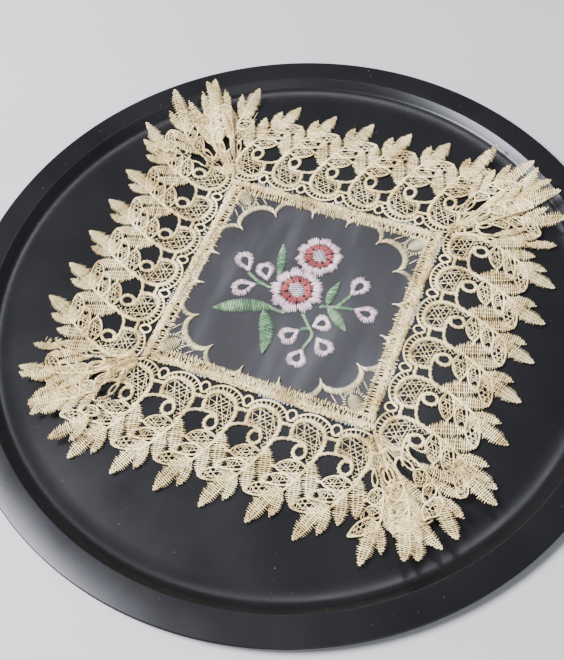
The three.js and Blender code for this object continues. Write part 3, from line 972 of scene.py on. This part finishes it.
def lobed(flower, radius, angle, depth):
    """The radius at an angle, drawn in by a share of itself where two petals meet."""
    wave = np.abs(np.sin(flower["lobes"] * (angle - flower["start"]) / 2)) ** 0.5
    return radius * (1 - depth + depth * wave)


def round_flower(flower, inner, outer, depth, pitch, lift, parting, hidden):
    """Stitches fanned out in each petal between two radii, less those under the hidden flower.

    The share of a petal given as parting, at both its sides, has short stitches only.
    """
    soup = Soup()
    count = int(2 * math.pi * (inner + outer) / 2 / pitch)
    angle = np.linspace(0, 2 * math.pi, count, endpoint=False)
    petal = 2 * math.pi / flower["lobes"]
    place = (angle - flower["start"]) / petal
    centre_angle = (np.floor(place) + 0.5) * petal + flower["start"]
    root_angle = centre_angle + (angle - centre_angle) * 0.9
    far = lobed(flower, outer, angle, depth) * rng.uniform(0.94, 1.06, count)
    near = inner * rng.uniform(0.86, 1.04, count)
    within = place % 1
    whole = (within > parting) & (within < 1 - parting)
    near = np.where(whole, near, near + 0.55 * (far - near))
    start = oval(*flower["at"], near, near, root_angle)
    end = oval(*flower["at"], far, far, angle)
    if hidden is not None:
        distance = np.linalg.norm((start + end) / 2 - np.array(hidden["at"]), axis=1)
        clear = distance > hidden["radius"] - 0.5
        start = start[clear]
        end = end[clear]
    stitches(soup, start, end, pitch * 0.7, height=0.6, lift=lift, arch=0.55)
    return soup


def make_eye(flower):
    """Two layers of chords across the eye, at an angle to each other."""
    soup = Soup()
    at = np.array(flower["at"])
    radius = flower["eye"] + 0.4
    for degrees, lift in ((20, 0.35), (65, 0.7)):
        way = np.array([math.cos(math.radians(degrees)), math.sin(math.radians(degrees))])
        side = left_of(way)
        u = np.linspace(-0.96, 0.96, int(2 * flower["eye"] / 1.25))
        chord = radius * np.sqrt(1 - u ** 2) * rng.uniform(0.8, 1.05, len(u))
        middle = at + u[:, None] * radius * side
        reach = chord[:, None] * way
        stitches(soup, middle - reach, middle + reach, 0.5, lift=lift, arch=0.25)
    return soup


def make_flower(name, flower, hidden=None):
    petals = round_flower(flower, flower["ring"] - 0.6, flower["radius"], depth=0.2, pitch=1.12,
                          lift=0.2, parting=0, hidden=hidden)
    finish_stitching(f"{name}_petal_stitches", petals, PINK, "pink_thread", f"{name}_petals")
    ring = round_flower(flower, flower["eye"] - 0.3, flower["ring"], depth=0.3, pitch=0.84,
                        lift=0.5, parting=0.12, hidden=hidden)
    finish_stitching(f"{name}_ring_stitches", ring, RED, "red_thread", f"{name}_ring")
    finish_stitching(f"{name}_eye_stitches", make_eye(flower), PALE, "pale_thread", f"{name}_eye")


make_flower("large_flower", LARGE)
make_flower("small_flower", SMALL, LARGE)

# ---- buds, leaves and stems

# as in the CAD: a bud's narrow end, the way it grows in degrees, and its length
BUDS = [(-25.5, -1.6, 214, 16), (-33.4, 5.4, 131, 16), (-20.4, 2.6, 120, 14), (11, -23.4, 229, 13.4),
        (17, -34.8, 263, 12.8), (21.8, -25.2, 324, 14), (17, -19.2, 42, 11.6), (31.2, 9, 69, 15.2),
        (36, 0.4, -4, 14.6)]
BUD_WIDTH = 12.4


def closed_curve(points, count):
    """Evenly spaced points round a smooth closed curve, starting at its first point."""
    path = smooth_path(points, 0.3, closed=True)
    at = np.linspace(0, len(path), count, endpoint=False)
    return path[at.astype(int)]


# half outlines of a bud and of the hole in it, as (share of its length, share of its half width)
BUD_OUTLINE = [(0.2, 0.42), (0.42, 0.86), (0.68, 1), (0.92, 0.72), (1, 0.3)]
BUD_NOTCH = 0.94
BUD_HOLE = [(0.40, 0.2), (0.56, 0.36), (0.70, 0.26)]
BUD_HOLE_ENDS = (0.26, 0.75)
BUD_STITCHES = 27


def mirrored(first, half_outline, last, length, half_width):
    """A closed outline from its two points on the axis and the points on one side of it."""
    points = [(first, 0)] + half_outline + [(last, 0)] + [(u, -v) for u, v in half_outline[::-1]]
    return np.array(points) * [length, half_width]


def make_bud(number, x, y, degrees, length):
    """A heart-shaped bud: stitches from the rim of its hole out to its outline."""
    half = BUD_WIDTH / 2
    outline = mirrored(0, BUD_OUTLINE, BUD_NOTCH, length, half)
    hole = mirrored(BUD_HOLE_ENDS[0], BUD_HOLE, BUD_HOLE_ENDS[1], length, half)
    outer = closed_curve(outline, BUD_STITCHES) * rng.uniform(0.97, 1.03, (BUD_STITCHES, 1))
    inner = closed_curve(hole, BUD_STITCHES)
    way = math.radians(degrees)
    spin = np.array([[math.cos(way), math.sin(way)], [-math.sin(way), math.cos(way)]])
    soup = Soup()
    stitches(soup, inner @ spin + [x, y], outer @ spin + [x, y], 0.7, height=0.6, lift=0.2, arch=0.5)
    finish_stitching(f"bud_{number}_stitches", soup, PINK, "pink_thread", f"bud_{number}")


for number, bud in enumerate(BUDS, 1):
    make_bud(number, *bud)

# foot, tip, width, and how far the middle bows to the left of the way the leaf grows
LEAVES = [((-10.5, -14.2), (-44.4, -26.6), 9.4, -1.8), ((-14.6, -18.6), (-3.6, -45.6), 9.4, 2.4),
          ((-15, 9.2), (-21, 31.2), 6.2, -0.4), ((20.6, -1.2), (21.8, 16), 5.8, 1.0),
          ((21.4, -3.6), (36.6, -15), 6.6, 0.4)]


def make_leaf(number, foot, tip, width, bow):
    """A green leaf: a row of slanting stitches from edge to edge, about 1 mm apart."""
    green = Soup()
    left, right = leaf_edges(foot, tip, width, bow, int(math.dist(foot, tip)))
    slant = (np.array(tip) - foot) / math.dist(foot, tip) * 1.1
    ragged = rng.uniform(0.95, 1.05, (len(left), 1))
    middle = (left + right) / 2
    start = middle + (left - middle) * ragged - slant
    end = middle + (right - middle) * ragged + slant * 0.4
    stitches(green, start, end, 0.74, height=0.6, lift=0.2, arch=0.5, segments=4)
    finish_stitching(f"leaf_{number}_stitches", green, GREEN, "green_thread", f"leaf_{number}")


for number, leaf in enumerate(LEAVES, 1):
    make_leaf(number, *leaf)

STEM_WIDTH = 2.3
STEMS = {
    "stem_upper": [[(-16.8, -1.4), (-25, 0.2), (-33, 4.2)], [(-22, 0), (-25, -0.8)]],
    "stem_left": [[(9.0, -12.8), (15, -19.6), (19, -24.6), (17.2, -34.4)],
                  [(15.6, -20.2), (13.6, -21.6), (11.4, -22.8)]],
    "stem_lower": [[(16.6, -4), (24, -2), (30, -0.6), (35.8, 0.2)], [(25.6, -1.4), (28.4, 3), (31, 8.6)]],
    "stem_leaves": [[(-2, -15.2), (-7.6, -15.2), (-12.5, -14.2)]],
}


def make_stem(name, runs):
    """A stem and its side stems: short slanting stitches across each run."""
    green = Soup()
    for run in runs:
        path = smooth_path(run, 0.72)
        direction = np.gradient(path, axis=0)
        direction /= np.linalg.norm(direction, axis=1)[:, None]
        side = left_of(direction) * STEM_WIDTH / 2
        side = side * rng.uniform(0.8, 1.15, (len(path), 1))
        stitches(green, path - side - 0.5 * direction, path + side + 0.5 * direction,
                 0.55, height=0.5, arch=0.4)
    finish_stitching(f"{name}_stitches", green, GREEN, "green_thread", name)


for stem_name, stem_runs in STEMS.items():
    make_stem(stem_name, stem_runs)

# ---- floor, light


FLOOR_SIZE = 6  # m
FLOOR_BELOW = 0.0002  # m under the tray
# name, place (m), width (m), power (W)
LIGHTS = [("key", (-1.06, -0.40, 1.5), 0.8, 128), ("back", (-0.3, 0.85, 1.6), 0.4, 5),
          ("fill", (0.9, -1.2, 1.8), 1.6, 14)]


def add_floor():
    bpy.ops.mesh.primitive_plane_add(size=FLOOR_SIZE, location=(0, 0, -FLOOR_BELOW))
    floor = bpy.context.object
    floor.name = "floor"
    material = new_material("floor_paint", (0.40, 0.41, 0.43), 0.6)
    mottling = add_noise(material, 3)
    tone = add_ramp(material, mottling, [(0.3, (0.38, 0.39, 0.41)), (0.7, (0.42, 0.43, 0.45))])
    feed(material, tone, "Base Color")
    floor.data.materials.append(material)


def add_area(name, location, size, power):
    """A round lamp aimed at the middle of the tray."""
    data = bpy.data.lights.new(name, "AREA")
    data.shape = "DISK"
    data.size = size
    data.energy = power
    lamp = bpy.data.objects.new(name, data)
    lamp.location = location
    lamp.rotation_euler = (-Vector(location)).to_track_quat("-Z", "Y").to_euler()
    bpy.context.scene.collection.objects.link(lamp)


add_floor()
for light in LIGHTS:
    add_area(*light)
world = bpy.data.worlds.new("studio")
world.use_nodes = True
background = world.node_tree.nodes["Background"]
background.inputs["Color"].default_value = (0.95, 0.97, 1.0, 1)
background.inputs["Strength"].default_value = 0.40
bpy.context.scene.world = world
